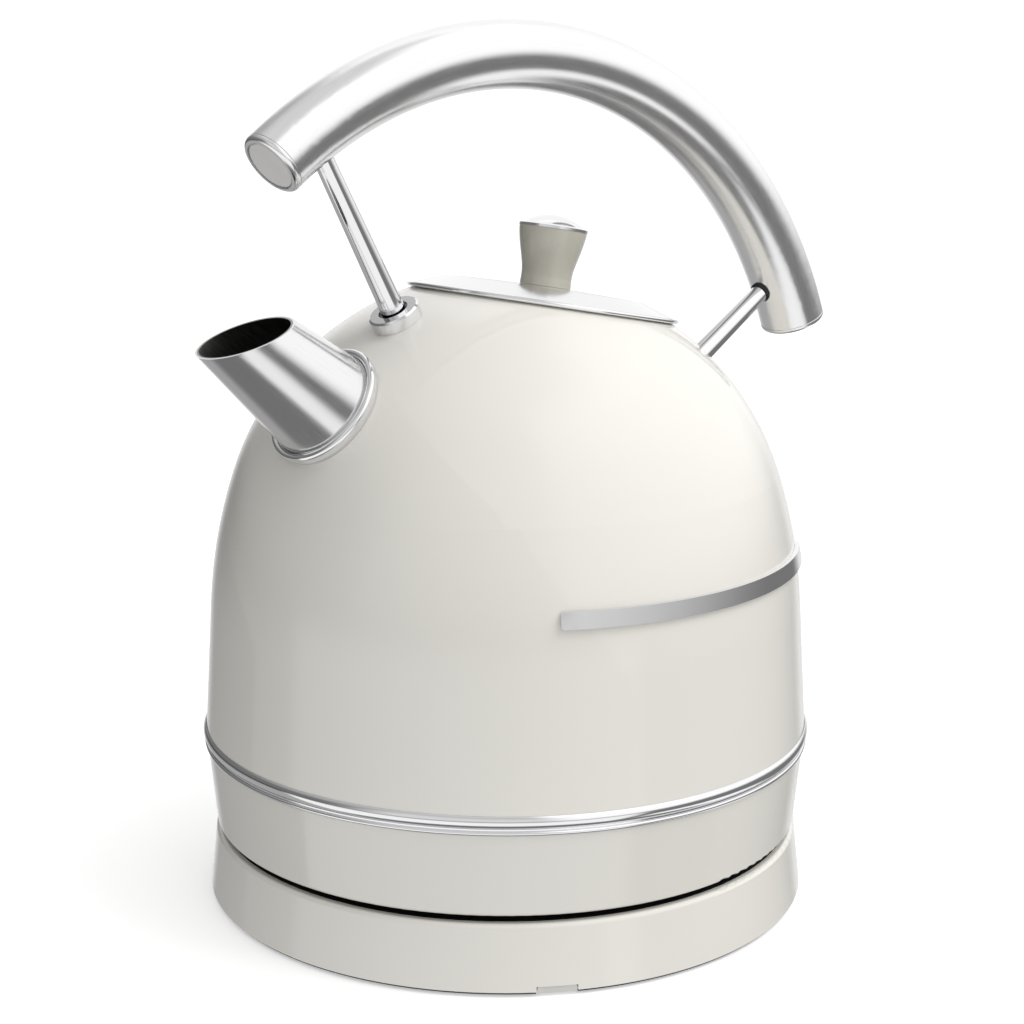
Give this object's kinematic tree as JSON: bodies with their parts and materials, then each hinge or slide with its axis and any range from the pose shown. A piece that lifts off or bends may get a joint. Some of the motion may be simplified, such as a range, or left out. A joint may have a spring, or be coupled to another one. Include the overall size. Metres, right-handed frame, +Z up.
{
  "type": "electric kettle",
  "caption": "Cordless dome kettle with a conical spout, arched handle on posts, lift-out lid with knob and a round power base it lifts off and turns on.",
  "frame": {"origin": "centre of the underside of the power base, on the plane it stands on", "axes": "+Z up along the kettle's axis, -X towards the spout, +X towards the rear of the handle, -Y the side with the raised bar"},
  "size_m": [0.2284, 0.172, 0.2422],
  "materials": {
    "cream_enamel": "glossy cream enamel",
    "polished_steel": "mirror polished",
    "spout_steel": "polished with faint lengthwise lines",
    "satin_steel": "satin brushed",
    "zinc_steel": "plain zinc-plated",
    "greige_plastic": "satin greige",
    "pale_plastic": "moulded",
    "pearl_plastic": "pale satin",
    "dark_plastic": "fine moulded grain",
    "black_rubber": "matt",
    "white_silicone": "translucent white",
    "brass": "bright",
    "aluminium": "rolled",
    "lamp_lens": "clear tinted"
  },
  "bodies": {
    "power_base": {"base_shell": "cream_enamel", "base_deck": "dark_plastic", "base_plate": "dark_plastic", "foot_ring": "black_rubber", "cord_gland": "pale_plastic", "base_screws": "zinc_steel", "base_connector": "dark_plastic", "outer_contact_ring": "brass", "inner_contact_ring": "brass", "earth_contact": "brass"},
    "socket": {"kettle_socket": "dark_plastic", "socket_contacts": "brass", "earth_pin": "brass"},
    "kettle": {"lower_skirt": "cream_enamel", "underside_cover": "dark_plastic", "cover_screws": "zinc_steel", "trim_ring": "polished_steel", "dome_shell": "cream_enamel", "opening_neck": "polished_steel", "vessel_floor": "satin_steel", "heat_spreader": "aluminium", "heating_element": "satin_steel", "control_unit": "dark_plastic", "bimetal_discs": "zinc_steel", "steam_tube": "satin_steel", "spout_tube": "spout_steel", "spout_collar": "polished_steel", "handle_tube": "satin_steel", "handle_front_cap": "satin_steel", "handle_rear_cap": "satin_steel", "handle_front_disc": "pearl_plastic", "handle_rear_disc": "pearl_plastic", "front_post": "polished_steel", "rear_post": "polished_steel", "front_boss": "polished_steel", "rear_boss": "polished_steel", "rear_gasket": "black_rubber", "post_washers": "white_silicone", "post_nuts": "zinc_steel", "badge_bar": "polished_steel", "switch_bezel": "greige_plastic", "switch_pin": "zinc_steel", "lamp_lens": "lamp_lens"},
    "spout_filter": {"filter_frame": "dark_plastic", "filter_mesh": "satin_steel"},
    "switch": {"switch_lever": "greige_plastic"},
    "lid": {"lid_rim": "polished_steel", "lid_shell": "polished_steel", "lid_plug": "dark_plastic", "lid_seal": "white_silicone", "lid_knob": "greige_plastic", "knob_cap": "polished_steel", "knob_screw": "zinc_steel"}
  },
  "joints": [
    {"name": "kettle_lift", "type": "slide", "parent": "power_base", "child": "socket", "axis": [0, 0, 1], "range_m": [0, 0.1]},
    {"name": "kettle_swivel", "type": "hinge", "parent": "socket", "child": "kettle", "pos_m": [0, 0, 0.025], "axis": [0, 0, 1], "continuous": true},
    {"name": "lid_lift", "type": "slide", "parent": "kettle", "child": "lid", "axis": [0.1908, 0, 0.9816], "range_m": [0, 0.03]},
    {"name": "filter_slide", "type": "slide", "parent": "kettle", "child": "spout_filter", "axis": [0.7815, 0, -0.6239], "range_m": [0, 0.02]},
    {"name": "switch_rock", "type": "hinge", "parent": "kettle", "child": "switch", "pos_m": [0.074, 0, 0.033], "axis": [0, 1, 0], "range_deg": [0, 16]}
  ]
}
